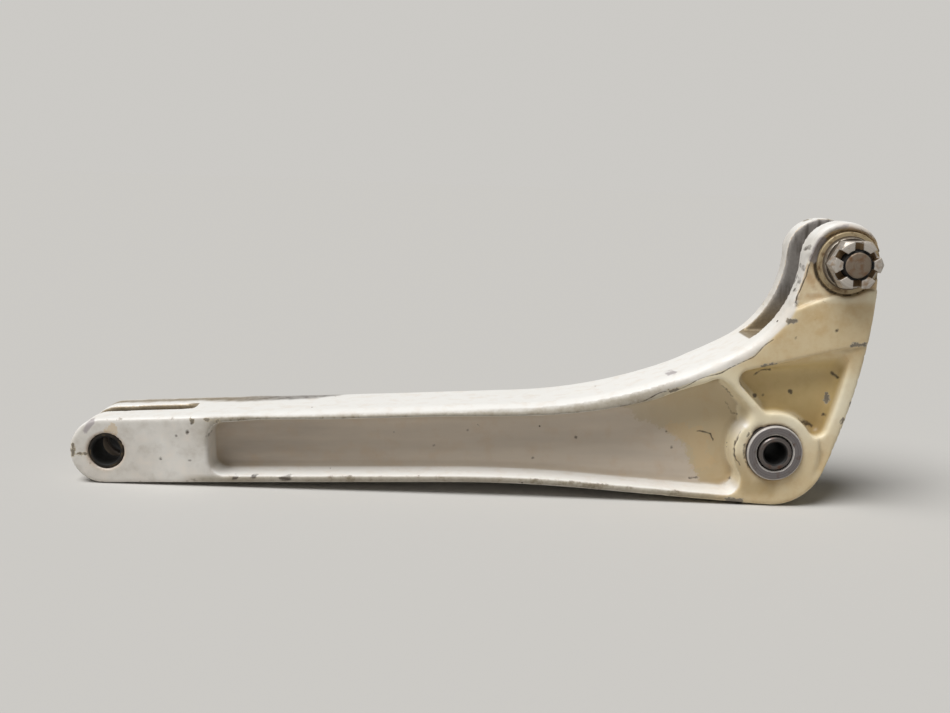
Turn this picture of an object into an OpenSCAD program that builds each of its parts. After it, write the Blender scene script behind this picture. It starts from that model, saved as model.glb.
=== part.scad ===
// Aircraft bellcrank: a drafted I-section forging with a needle bearing at its pivot,
// a slotted eye on the long arm and a bolted clevis on the short arm.
// The pivot axis is Y through the origin, X runs along the long arm and Z is up.

/* [Lever] */
// Distance from the pivot to the eye of the long arm
long_arm = 190.5; // [178:0.5:230]
// Distance from the pivot to the clevis of the short arm
short_arm = 57.15; // [54:0.05:64]
// Angle of the short arm above the X axis
short_arm_angle = 71.2; // [66:0.1:76]
// Thickness of the forging from face to face
lever_t = 28; // [27:0.5:32]
// Draft of the outer walls in degrees
draft = 0.5; // [0.1:0.1:1.5]
// Draft of the pockets' walls in degrees
pocket_draft = 3.5; // [1:0.5:5]

/* [Outline] */
// Radius of the pivot boss at the parting line
boss_r = 16; // [15.4:0.1:17.5]
// Radius of the clevis ears at the parting line
ear_r = 10.5; // [10.2:0.1:12]
// Radius of the eye's round end at the parting line
eye_r = 9.5; // [9.2:0.1:10.5]
// How far the eye's round end is centred beyond its bore
eye_lead = 1; // [0:0.1:2]
// How far the ears' round ends are centred behind the bolt, towards the long arm
ear_lead = 1.3; // [0:0.1:1.6]
// How far the ears' round ends are centred above the bolt
ear_rise = 1; // [0:0.1:1.6]
// Radius of the bowed flank between the boss and the ear
flank_r = 160; // [130:5:220]
// Radius of the hollow below the clevis
crotch_r = 30.5; // [27:0.5:33]
// Radius of the long sweep from the arm up to the clevis
sweep_r = 149.7; // [140:0.1:165]
// Distance from the pivot back to the lowest point of the sweep
sweep_x = 78; // [72:1:84]
// Height of the top edge at the lowest point of the sweep
sweep_h = 13.4; // [12.8:0.1:14.5]
// Radius of the slight hollow in the bottom edge
belly_r = 400; // [300:10:600]
// Distance from the pivot back to the top of that hollow
belly_x = 92; // [80:1:110]
// Depth of the bottom edge below the pivot there
belly_h = 9.3; // [9:0.1:9.8]
// Rounding of the forging's edges round the boss, flank and ear
edge_r = 1.3; // [0.8:0.1:1.6]
// Rounding of the forging's edges along the sweep
sweep_edge_r = 2.8; // [1.6:0.1:3]
// Rounding of the forging's edges along the slim part of the arm
slim_edge_r = 0.9; // [0.4:0.1:1.2]

/* [Pockets] */
// Depth of the long pocket from each face
pocket_depth = 9; // [7:0.5:11]
// Distance from the pivot to the far end of the long pocket
pocket_end = 161.5; // [150:0.5:163]
// Corner radius at the far end of the long pocket
pocket_corner_r = 4.5; // [3.5:0.1:6]
// Width of the top flange at the far end of the pocket
top_rim = 2.3; // [2:0.1:2.8]
// Width of the top flange along the sweep
sweep_rim = 4.7; // [4.4:0.1:5.5]
// Width of the bottom flange
bottom_rim = 2.2; // [1.9:0.1:2.8]
// Radius of the flat land round the pivot bore
land_r = 11.4; // [10.5:0.1:12.5]
// Radius in the long pocket's corners at the rib
corner_r = 3.4; // [2.8:0.1:4]
// Radius in the long pocket's corner below the boss
heel_r = 4.4; // [3.4:0.1:5.2]
// Radius in the corners of the three-cornered pocket
window_corner_r = 2.9; // [2.7:0.1:3.2]
// Depth of the three-cornered pocket from each face
window_depth = 6.5; // [4:0.5:8]
// Width of the flank beside the three-cornered pocket
flank_rim = 3.9; // [3.4:0.1:4.6]
// How far the flank's faces lie below the boss land
flank_drop = 1; // [0.5:0.1:2]
// Radius of the fillet round the long pocket's floor
floor_fillet = 1.6; // [0.8:0.1:2]
// Radius of the fillet round the three-cornered pocket's floor
window_fillet = 2.2; // [1:0.1:2.3]
// Rounding of the pockets' rims
rim_r = 0.6; // [0.3:0.1:0.8]
// Width of the rib between the two pockets
rib_w = 2.4; // [2:0.1:4]
// Where the rib's centre line leaves the boss land, in degrees round the pivot
rib_root = 109.7; // [104:0.1:114]
// Direction of the rib in degrees from the X axis
rib_angle = 133; // [125:1:140]
// Height of the three-cornered pocket's upper edge above the pivot at X = 0
window_top = 25.6; // [24.5:0.1:28]
// Slope of that upper edge in degrees
window_slope = 13; // [8:1:18]
// How far the upper edge lies lower at the pocket's floor, where it is level
window_fall = 1.8; // [1:0.1:2.5]

/* [Clevis and eye slots] */
// Width of the slot between the clevis ears
clevis_slot_w = 12.7; // [10:0.1:14]
// Height of the clevis slot's floor above the pivot
clevis_floor = 32; // [31:0.5:34]
// Depth that the ears' outer faces are milled below the forging's faces
ear_mill = 1.5; // [0.5:0.1:2.5]
// Width of the rim left round the milled face
ear_rim = 1.9; // [1.4:0.1:2.2]
// Lean of that rim below the clevis in degrees
ear_rim_lean = 16.7; // [12:0.1:20]
// Radius of the milled step below each ear
ear_step_r = 56.2; // [45:0.2:80]
// Distance from the clevis axis down to the top of the milled step
ear_step_drop = 7.5; // [7:0.1:9]
// Diameter of the spot face round the clevis bolt
spot_d = 18.8; // [17:0.1:20]
// Depth of the spot face
spot_depth = 0.3; // [0.1:0.1:0.8]
// Width of the slot through the eye
eye_slot_w = 7; // [5:0.1:9]
// Distance from the pivot to the round end of the eye slot
eye_slot_end = 167.8; // [165:0.1:172]

/* [Pivot bearing] */
// Outer diameter of the bearing rings
ring_od = 15.875; // [15.5:0.005:17]
// Length of each bearing ring
ring_len = 12.7; // [10:0.1:14]
// How far each ring stands out of the boss
ring_proud = 1.5; // [0.5:0.1:2]
// Bore of the rings' end lips
lip_id = 10.4; // [10.1:0.1:11.5]
// Thickness of the end lips
lip_t = 1.2; // [0.8:0.1:2]
// Diameter of the needle rollers
needle_d = 1.588; // [1.2:0.002:1.8]
// Outer diameter of the pivot sleeve
sleeve_od = 9.525; // [9.2:0.005:9.8]
// Bore of the pivot sleeve
sleeve_id = 6.35; // [5:0.05:7]
// How far the sleeve stands out of the rings
sleeve_proud = 0.3; // [0.1:0.1:1]
// Chamfer on the rings and the sleeve
bearing_chamfer = 0.4; // [0.2:0.05:0.5]

/* [Bushes] */
// Outer diameter of the eye and clevis bushes
bush_od = 10.32; // [9.6:0.02:11.5]
// Bore of the eye bushes
eye_bush_id = 7.94; // [6.4:0.02:8.4]
// How far the eye bushes lie below the eye's faces
eye_bush_sink = 0.3; // [0:0.05:0.6]
// Chamfer in the mouth of each bush
bush_chamfer = 0.3; // [0.1:0.05:0.4]

/* [Clevis bolt] */
// Diameter of the bolt
bolt_d = 7.94; // [6.4:0.02:8.4]
// Width of the nut and the bolt head across their flats
flats_w = 12.7; // [12:0.1:13.5]
// Height of the bolt head
head_h = 4.8; // [4:0.1:6]
// Height of the castle nut
nut_h = 6.2; // [5.6:0.1:8]
// Width of the castle nut's slots
castle_w = 2.4; // [2:0.1:2.8]
// Depth of the castle nut's slots
castle_h = 2.7; // [2:0.1:3]
// Outer diameter of the washers under the nut and the head
washer_od = 14.3; // [13.5:0.1:16]
// Outer diameter of the wide washer in the nut's spot face
wide_washer_od = 17.4; // [16:0.1:17.8]
// Thickness of the washers
washer_t = 1.6; // [0.8:0.1:2]
// Diameter of the cotter hole through the bolt
cotter_d = 1.9; // [1.5:0.1:2]
// How far the bolt's end stands out of the nut
bolt_proud = 0.2; // [0:0.1:1]

/* [Fits] */
// Radial clearance of the running fits
running_clear = 0.03; // [0.02:0.005:0.05]
// End play of the needles and of the bolt's washers
end_play = 0.06; // [0.02:0.01:0.1]
// Least gap between neighbouring needles
needle_gap = 0.06; // [0.04:0.01:0.12]

/* [Hidden] */
$fn = 64;
edge_step = 18;
rim_step = 30;
fillet_step = 22.5;
least_r = 0.02;
past = 1;
half_t = lever_t / 2;
clear_through = 4 * lever_t;
origin = [0, 0];
clevis = short_arm * [cos(short_arm_angle), sin(short_arm_angle)];
eye = [-long_arm, 0];
slot_inner = clevis_slot_w / 2;
ear_face = half_t - ear_mill;
seat = ear_face - spot_depth;
eye_inner = eye_slot_w / 2;

// Bearing sizes that follow from the needles
raceway_r = sleeve_od / 2 + needle_d + 2 * running_clear;
pitch_r = (sleeve_od / 2 + raceway_r) / 2;
needle_step = 2 * asin((needle_d + needle_gap) / 2 / pitch_r);
needle_count = floor(360 / needle_step);
ring_face = half_t + ring_proud;
needle_len = ring_len - 2 * lip_t - 2 * end_play;
sleeve_half = ring_face + sleeve_proud;

// Bolt stack outwards from each seat, and the bolt's chamfered point
head_seat = seat + end_play + washer_t;
nut_seat = head_seat + washer_t;
nut_face = nut_seat + nut_h;
bolt_end = nut_face + bolt_proud;
cotter_y = nut_face - castle_h / 2;
hex_d = flats_w / cos(30);
bolt_point = bolt_d / 10;

// Where two circles cross, on the left (1) or right (-1) of the line from a to b
function meet(a, ra, b, rb, side) =
    let (d = norm(b - a), u = (b - a) / d, s = (ra * ra - rb * rb + d * d) / (2 * d))
    a + s * u + side * sqrt(max(0, ra * ra - s * s)) * [-u.y, u.x];

// Where a line from p along u first (-1) or last (1) crosses a circle
function strike(p, u, c, r, which) =
    let (q = p - c, b = q * u)
    p + (which * sqrt(max(0, b * b - q * q + r * r)) - b) * u;

// A disc of an outline: centre, radius (negative on a hollow), steps round it, 1 if its arc
// runs smoothly into the next one, and the rounding of the edge there
function disc(c, r, steps, joined = 0, edge = 0) = [c, r, steps, joined, edge];

// Heading of the straight run from one disc to the next, anticlockwise round the outline
function heading(a, b) =
    let (v = b[0] - a[0])
    atan2(v.y, v.x) - asin(max(-1, min(1, (b[1] - a[1]) / norm(v))));

function left_of(angle) = [-sin(angle), cos(angle)];

// A point at a given X, a given depth inside the straight run between two discs
function inside(a, b, x, depth) =
    let (h = heading(a, b), n = left_of(h), p = a[0] + (depth - a[1]) * n)
    [x, p.y + (x - p.x) * tan(h)];

// Outline drawn round the discs, each one's radius less its own inset
function shrunk(d, inset) = d[1] > 0 ? max(least_r, d[1] - inset) : d[1] - inset;
function outline(discs, insets) =
    let (n = len(discs), set = [for (i = [0:n - 1]) [discs[i][0], shrunk(discs[i], insets[i])]])
    [for (i = [0:n - 1])
        let (
            d = set[i],
            steps = discs[i][2],
            from = heading(set[(i + n - 1) % n], d),
            turn = heading(d, set[(i + 1) % n]) - from,
            sweep = d[1] > 0 ? (turn % 360 + 360) % 360 : -((-turn % 360 + 360) % 360)
        )
        for (k = [0:steps - discs[i][3]]) d[0] - d[1] * left_of(from + sweep * k / steps)];

// Solid through outlines of equal length at rising Y
module loft(rings, heights) {
    n = len(rings[0]);
    last = len(rings) - 1;
    polyhedron(
        [for (k = [0:last]) for (p = rings[k]) [p.x, heights[k], p.y]],
        concat(
            [[for (i = [0:n - 1]) n - 1 - i]],
            [for (k = [0:last - 1]) for (i = [0:n - 1]) for (half = [0, 1])
                let (j = (i + 1) % n, a = k * n, b = a + n)
                half == 0 ? [a + i, a + j, b + j] : [a + i, b + j, b + i]],
            [[for (i = [0:n - 1]) last * n + i]]
        )
    );
}

// Discs of the forging's outline at its parting line
boss_disc = disc(origin, boss_r, 24, 1, edge_r);
ear_c = clevis + [-ear_lead, ear_rise];
ear_disc = disc(ear_c, ear_r, 28, 1, edge_r);
eye_disc = disc(eye - [eye_lead, 0], eye_r, 26, 0, slim_edge_r);
flank_c = meet(origin, flank_r - boss_r, ear_c, flank_r - ear_r, 1);
flank_disc = disc(flank_c, flank_r, 12, 1, edge_r);
sweep_c = [-sweep_x, sweep_h + sweep_r];
sweep_disc = disc(sweep_c, -sweep_r, 18, 0, sweep_edge_r);
crotch_c = meet(sweep_c, sweep_r - crotch_r, ear_c, ear_r + crotch_r, -1);
crotch_disc = disc(crotch_c, -crotch_r, 14, 1, sweep_edge_r);
belly_c = [-belly_x, -belly_h - belly_r];
belly_disc = disc(belly_c, -belly_r, 8, 0, slim_edge_r);
body_discs = [boss_disc, flank_disc, ear_disc, crotch_disc, sweep_disc, eye_disc, belly_disc];

// Inset of the outline at a height above the parting line: draft, then the rounded edge
function edge_inset(y, r) =
    let (up = max(0, y - half_t + r))
    y * tan(draft) + r - sqrt(max(0, r * r - up * up));
body_levels = [for (a = [0:edge_step:90]) half_t - sweep_edge_r * (1 - sin(a))];
body_heights = concat([for (i = [len(body_levels) - 1:-1:0]) -body_levels[i]], [0], body_levels);

module forged_body() {
    loft(
        [for (y = body_heights) outline(body_discs, [for (d = body_discs) edge_inset(abs(y), d[4])])],
        body_heights
    );
}

// Discs of the long pocket's mouth
rib_dir = [cos(rib_angle), sin(rib_angle)];
rib_side = left_of(rib_angle);
rib_foot = land_r * [cos(rib_root), sin(rib_root)];
rib_shift = (rib_w / 2 + corner_r) * rib_side;
pocket_tip_x = pocket_corner_r - pocket_end;
heel_run = inside(belly_disc, boss_disc, -belly_x, bottom_rim + heel_r);
heel_angle = heading(belly_disc, boss_disc);
pocket_discs = [
    disc(inside(eye_disc, belly_disc, pocket_tip_x, bottom_rim + pocket_corner_r), pocket_corner_r, 6),
    disc(belly_c, -belly_r - bottom_rim, 8),
    disc(strike(heel_run, [cos(heel_angle), sin(heel_angle)], origin, land_r + heel_r, -1), heel_r, 8, 1),
    disc(origin, -land_r, 12, 1),
    disc(strike(rib_foot + rib_shift, rib_dir, origin, land_r + corner_r, 1), corner_r, 6),
    disc(strike(rib_foot + rib_shift, rib_dir, sweep_c, sweep_r + sweep_rim + corner_r, -1), corner_r, 8, 1),
    disc(sweep_c, -sweep_r - sweep_rim, 16),
    disc(inside(sweep_disc, eye_disc, pocket_tip_x, top_rim + pocket_corner_r), pocket_corner_r, 6)
];

// Discs of the three-cornered pocket in the crook of the short arm, at a share of its depth:
// the upper edge slopes at the mouth and is level at the floor
function cross2(a, b) = a.x * b.y - a.y * b.x;
function crossing(p, u, q, v) = p + cross2(q - p, v) / cross2(u, v) * u;
flank_inner = flank_r - flank_rim;
window_rib = rib_foot - (window_corner_r + rib_w / 2) * rib_side;
function window_discs(share) =
    let (
        r = window_corner_r,
        slope = window_slope * (1 - share),
        dir = [cos(slope), sin(slope)],
        edge = [0, window_top - window_fall * share] - r * left_of(slope)
    )
    [
        disc(meet(origin, land_r + r, flank_c, flank_inner - r, -1), r, 6, 1),
        disc(flank_c, flank_inner, 8, 1),
        disc(strike(edge, dir, flank_c, flank_inner - r, 1), r, 8),
        disc(crossing(window_rib, rib_dir, edge, dir), r, 8),
        disc(strike(window_rib, rib_dir, origin, land_r + r, 1), r, 6, 1),
        disc(origin, -land_r, 12, 1)
    ];

// Depths and insets down a pocket's wall: flared rim, drafted wall, floor fillet
function wall(depth, fillet) = concat(
    [for (a = [0:rim_step:90]) [rim_r * (1 - cos(a)), -rim_r * (1 - sin(a))]],
    [for (a = [0:fillet_step:90])
        [depth - fillet * (1 - sin(a)), (depth - fillet) * tan(pocket_draft) + fillet * (1 - cos(a))]]
);

// Pocket in the front face, its discs a function of the share of its depth
module pocket(discs_at, depth, fillet) {
    steps = wall(depth, fillet);
    rings = [for (s = steps) let (discs = discs_at(s[0] / depth)) outline(discs, [for (d = discs) s[1]])];
    loft(concat([rings[0]], rings), concat([-half_t - past], [for (s = steps) s[0] - half_t]));
}

// Repeats on the rear face what is drawn on the front one
module both_faces() {
    children();
    mirror([0, 1, 0]) children();
}

module along_y(at, y) {
    translate([at.x, y, at.y]) rotate([-90, 0, 0]) children();
}

module bore(at, d) {
    along_y(at, -clear_through / 2) cylinder(d = d, h = clear_through);
}

// Milled face outside each ear, inside its rim and above an arc about the clevis axis
module ear_milling() {
    step_c = clevis + [ear_r, -ear_step_drop - ear_step_r];
    r = ear_r - ear_rim;
    reach = 3 * ear_r;
    start = r * [-cos(ear_rim_lean), sin(ear_rim_lean)];
    difference() {
        along_y(ear_c, -half_t - past) linear_extrude(ear_mill + past) mirror([0, 1, 0]) {
            circle(r = r);
            polygon([start, start - reach * [tan(ear_rim_lean), 1], [reach, -reach], [reach, 0]]);
        }
        along_y(step_c, -half_t - 2 * past) cylinder(r = ear_step_r, h = ear_mill + 3 * past);
    }
}

// Lowered face of the flank, between the boss land and the three-cornered pocket's upper edge
module flank_relief() {
    reach = 3 * boss_r;
    difference() {
        translate([0, -half_t - past, window_top]) rotate([0, -window_slope, 0])
            translate([0, 0, -reach]) cube([reach, flank_drop + past, reach]);
        along_y(origin, -half_t - 2 * past) cylinder(r = land_r + corner_r / 2, h = flank_drop + 3 * past);
        translate([-reach, -half_t - 2 * past, -2 * reach])
            cube([2 * reach, flank_drop + 3 * past, 2 * reach]);
    }
}

// The forging before machining, sized between its faces
module forged_blank() {
    resize([0, lever_t, 0]) difference() {
        forged_body();
        both_faces() {
            pocket(function(share) pocket_discs, pocket_depth, floor_fillet);
            pocket(function(share) window_discs(share), window_depth, window_fillet);
        }
    }
}

module lever_forging() {
    color("ivory")
    difference() {
        forged_blank();
        both_faces() {
            flank_relief();
            ear_milling();
            along_y(clevis, -half_t - past) cylinder(d = spot_d, h = ear_mill + spot_depth + past);
        }
        translate([crotch_c.x, -slot_inner, clevis_floor])
            cube([short_arm + long_arm, clevis_slot_w, short_arm]);
        translate([-2 * long_arm, -eye_inner, -long_arm / 2])
            cube([2 * long_arm - eye_slot_end - eye_inner, eye_slot_w, long_arm]);
        translate([-eye_slot_end - eye_inner, 0, -long_arm / 2]) cylinder(d = eye_slot_w, h = long_arm);
        bore(origin, ring_od);
        bore(eye, bush_od);
        bore(clevis, bush_od);
    }
}

// Ring of the needle bearing with a lip at each end, turned about the pivot axis
module bearing_ring() {
    r = ring_od / 2;
    c = bearing_chamfer;
    lip = lip_id / 2;
    color("silver") along_y(origin, -ring_face) rotate_extrude()
        polygon([
            [lip, 0], [r - c, 0], [r, c], [r, ring_len - c], [r - c, ring_len], [lip, ring_len],
            [lip, ring_len - lip_t], [raceway_r, ring_len - lip_t], [raceway_r, lip_t], [lip, lip_t]
        ]);
}

module needles() {
    color("lightsteelblue")
    for (i = [0:needle_count - 1])
        let (a = 360 * i / needle_count)
        along_y(pitch_r * [cos(a), sin(a)], -ring_face + lip_t + end_play)
            cylinder(d = needle_d, h = needle_len);
}

// Plain tube with chamfers at both mouths, outside and in
module tube(od, id, length, outer_c, inner_c) {
    ro = od / 2;
    ri = id / 2;
    rotate_extrude() polygon([
        [ri + inner_c, 0], [ro - outer_c, 0], [ro, outer_c], [ro, length - outer_c], [ro - outer_c, length],
        [ri + inner_c, length], [ri, length - inner_c], [ri, inner_c]
    ]);
}

module pivot_sleeve() {
    color("lightgray") along_y(origin, -sleeve_half)
        tube(sleeve_od, sleeve_id, 2 * sleeve_half, bearing_chamfer, bearing_chamfer);
}

module eye_bush() {
    eye_face = half_t - eye_bush_sink;
    color("gray") along_y(eye, -eye_face)
        tube(bush_od, eye_bush_id, eye_face - eye_inner, bush_chamfer, bush_chamfer);
}

module clevis_bush() {
    color("gray") along_y(clevis, -seat)
        tube(bush_od, bolt_d + 2 * running_clear, seat - slot_inner, bush_chamfer, bush_chamfer);
}

// Hexagon with a turned chamfer on its outer corners, from y = 0 outwards along -Y
module hexagon(h) {
    rise = (hex_d - flats_w) / 2;
    mirror([0, 1, 0]) along_y(origin, 0) intersection() {
        cylinder(d = hex_d, h = h, $fn = 6);
        rotate_extrude() polygon([[0, 0], [hex_d / 2, 0], [hex_d / 2, h - rise], [flats_w / 2, h], [0, h]]);
    }
}

module at_clevis(y) {
    translate([clevis.x, y, clevis.y]) children();
}

module clevis_bolt() {
    r = bolt_d / 2;
    shank = bolt_end + head_seat;
    color("dimgray") at_clevis(0) {
        translate([0, head_seat, 0]) mirror([0, 1, 0]) hexagon(head_h);
        difference() {
            along_y(origin, -bolt_end) rotate_extrude() polygon([
                [0, 0], [r - bolt_point, 0], [r, bolt_point], [r, shank], [0, shank]
            ]);
            translate([0, -cotter_y, -bolt_d]) cylinder(d = cotter_d, h = 2 * bolt_d);
        }
    }
}

// Washer on the bolt, its outer face at a distance in front of the lever's middle
module washer(od, face) {
    color("slategray") along_y(clevis, -face)
        tube(od, bolt_d + 2 * running_clear, washer_t, bush_chamfer, bush_chamfer);
}

module castle_nut() {
    color("darkgray") at_clevis(-nut_seat) difference() {
        hexagon(nut_h);
        bore(origin, bolt_d);
        for (a = [0:60:120]) rotate([0, a, 0])
            translate([-castle_w / 2, -nut_h - past, -hex_d]) cube([castle_w, castle_h + past, 2 * hex_d]);
    }
}

lever_forging();
bearing_ring();  // front_bearing_ring
mirror([0, 1, 0]) bearing_ring();  // rear_bearing_ring
needles();  // front_needles
mirror([0, 1, 0]) needles();  // rear_needles
pivot_sleeve();
eye_bush();  // front_eye_bush
mirror([0, 1, 0]) eye_bush();  // rear_eye_bush
clevis_bush();  // front_clevis_bush
mirror([0, 1, 0]) clevis_bush();  // rear_clevis_bush
clevis_bolt();
mirror([0, 1, 0]) washer(washer_od, head_seat);  // head_washer
washer(wide_washer_od, head_seat);  // wide_washer
washer(washer_od, nut_seat);  // nut_washer
castle_nut();
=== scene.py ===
"""Worn aircraft bellcrank: enamelled forging, needle bearing pivot, bushed eye and bolted clevis."""
import math

import bmesh
import bpy
import numpy as np
from mathutils import Matrix, Vector


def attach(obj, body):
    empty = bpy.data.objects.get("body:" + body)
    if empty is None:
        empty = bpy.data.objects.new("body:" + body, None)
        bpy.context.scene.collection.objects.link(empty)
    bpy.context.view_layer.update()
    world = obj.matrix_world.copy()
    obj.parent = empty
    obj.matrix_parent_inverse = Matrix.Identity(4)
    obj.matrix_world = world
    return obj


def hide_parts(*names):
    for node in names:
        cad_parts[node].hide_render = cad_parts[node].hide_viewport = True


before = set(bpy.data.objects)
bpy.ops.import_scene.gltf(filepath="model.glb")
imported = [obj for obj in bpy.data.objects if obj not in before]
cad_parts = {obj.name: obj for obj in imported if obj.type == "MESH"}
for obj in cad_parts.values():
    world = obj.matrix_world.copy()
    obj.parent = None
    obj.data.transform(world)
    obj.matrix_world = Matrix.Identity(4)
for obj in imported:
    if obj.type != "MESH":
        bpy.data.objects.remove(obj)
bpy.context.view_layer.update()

# Sizes of the lever in millimetres, as in the part's source; centres are X and Z
MM = 0.001
HALF_T = 14.0
PIVOT = (0.0, 0.0)
EYE = (-190.5, 0.0)
CLEVIS = (18.42, 54.1)
CLEVIS_SLOT_HALF = 6.35
CLEVIS_SLOT_FLOOR = 32.0
EYE_SLOT_HALF = 3.5
EYE_SLOT_END = -167.8
BOSS_LAND_R = 13.1
FLANK_DROP = 1.0
# The rib between the long pocket and the three-cornered one: a point on its line, and the way across it
RIB_POINT = (-3.84, 10.73)
RIB_ACROSS = (0.731, 0.682)
# The lever's lower edge, as X and Z
BELLY = [(-191, -9.5), (-92, -9.3), (-72, -9.8), (-54, -11.1), (-1.6, -15.9)]
# Depths of the boss and the eye below their centres, and the distance between where they stand
BOSS_FOOT = 16.0
EYE_FOOT = 9.5
FOOT_SPAN = 191.5

# Sizes of the bearing, the bushes and the washers
ROLLERS = 21
ROLLER_SIDES = 14
ROLLER_R = 0.794
ROLLER_LENGTH = 10.18
ROLLER_MIDDLE = 9.15
PITCH_R = 5.5865
BUSH_R = 5.16
BUSH_CHAMFER = 0.3
EYE_BORE_R = 3.97
EYE_BUSH_FACE = 13.7
CLEVIS_BUSH_FACE = 12.2
SHANK_HOLE_R = 4.0
EAR_FACE = 12.26
WASHER_T = 1.6
WASHER_R = 7.15
WIDE_WASHER_R = 8.7
# How far the edges of the fittings are broken
RING_EASE = 0.1
BUSH_EASE = 0.08
NUT_EASE = 0.22
BOLT_EASE = 0.2
# Sides of a turned piece, and the angles in degrees that count as an edge
TURNS = 96
FLAT_ANGLE = 0.5
BEVEL_ANGLE = 24
SHARP_ANGLE = 28

# Making the lever's skin: lengths in mm, rounds of smoothing, and shares of the way to the neighbours' mean
VOXEL = 0.69
SMOOTH_ROUNDS = 3
SMOOTH_IN = 0.5
SMOOTH_OUT = -0.52
EDGE_EASE = 0.35
SOFT_PULL = 0.6
SLOPE_ROUNDS = 24
ROUND_ROUNDS = 40
BULGE_ROUNDS = 10
FINE_REACH = 0.6
# How far the pockets' upper edge rises, as X and mm, and the step between the places it is measured at
LIP_LIFT = [(-156, 0), (-146, 0.75), (-126, 0.8), (-95, 1.5), (-70, 1.5), (-44, 0.6), (-30, 0)]
LIP_STEP = 4.0

# Wear in mm: how far the marks wander, how much further left the paint's boundary lies on the rear, how far
# bare metal reaches past the edges of the milled walls, and a distance that stands for outside
WANDER = 0.3
REAR_SHIFT = 9.0
MILLED_LAP = 0.3
OUTSIDE = -9
# Marks strewn over the rear: their seed and their numbers
REAR_SEED = 7
REAR_CHIPS = 26
REAR_SPECKS = 30
# Distances along Y count less, so that a mark lies on the skin a little in front of or behind its line
MARK_SCALE = np.array([1.0, 0.2, 1.0])

# Steel: ragged edge of a zone in mm, roughness that dirt adds, and a span of Y that takes in everything
ZONE_RAGGED = 0.5
DIRT_MATT = 0.3
ALL_ALONG = (-40, 40)
# Black of grease and painted shade in the bores, and a pale painted highlight for chamfers
GREASE_AND_BORE_SHADE = "#0F0E0D"
CHAMFER_HIGHLIGHT = "#B9B4AF"

# Studio: the background is as bright to the eye as the floor is under the lamp
PALE = "#C9C7C3"
AIR_LIGHT = 0.175
AIR_SEEN = 1.03
# Floor: radii of its rings in metres, and its sides
FLOOR_RADII = (0.4, 1.5, 6.0)
FLOOR_SIDES = 72
# Camera: focal length and frame width in pixels, place in mm, and yaw, pitch and roll in degrees
FOCAL_PIXELS = 1120
FRAME_PIXELS = 950
SENSOR_WIDTH = 36
CAMERA_PLACE = (-87.6, -324.5, 79.8)
CAMERA_TURNS = (0.39, 9.55, 0.2)

# Wear on the lever: points in mm along each mark, and its half width
CHIPS = [
    ([(-198.1, -14, -1.1), (-195.9, -14, -1.1)], 0.35),
    ([(-199.8, -14, 1.5), (-199.7, -14, -1.2)], 0.5),
    ([(-30.6, -14, 17.5), (-28.6, -14, 18.4)], 0.55),
    ([(-3.7, -13.9, 25.0), (-0.8, -13.6, 24.9)], 0.65),
    ([(2.0, -13.7, 37.5), (4.1, -14, 37.9)], 0.5),
    ([(20.3, -14, 31.1), (24.6, -13, 30.7)], 0.4),
    ([(16.0, -7.6, 15.2), (16.2, -7.6, 14.2)], 0.6),
    ([(-12.5, -13.8, -14.2), (-8.4, -13.7, -14.7)], 0.7),
    ([(-166.2, -14, 8.8), (-165.6, -14, 8.6)], 0.35),
    ([(-161.9, -13.9, 9.4), (-161.2, -13.9, 9.3)], 0.4),
    ([(-158.8, -14, 9.1), (-158.2, -14, 9.2)], 0.35),
    ([(19.1, -13, 8.4), (19.3, -13, 9.2)], 0.35),
    ([(21.2, -13, 13.9), (21.3, -13, 14.6)], 0.35),
]
BARE_SPOTS = [
    ([(-196.0, -14, 6.4), (-194.2, -14, 8.2)], 0.9),
    ([(-29.9, -6.4, 21.3), (-28.2, -6.4, 21.9)], 0.6),
    ([(8.9, -12.9, 55.4), (10.5, -12.9, 60.2)], 1.5),
    ([(13.9, -12.4, 63.4), (17.2, -12.4, 64.2)], 0.45),
]
UNDERCOAT = [
    ([(-189.3, -14, 5.6), (-188.1, -14, 7.0), (-186.7, -14, 5.3)], 1.0),
    ([(-26.5, -5, 4.4), (-22.4, -5, 3.8), (-19.3, -5, -0.4), (-17.3, -5, -5.3)], 2.6),
]
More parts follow.
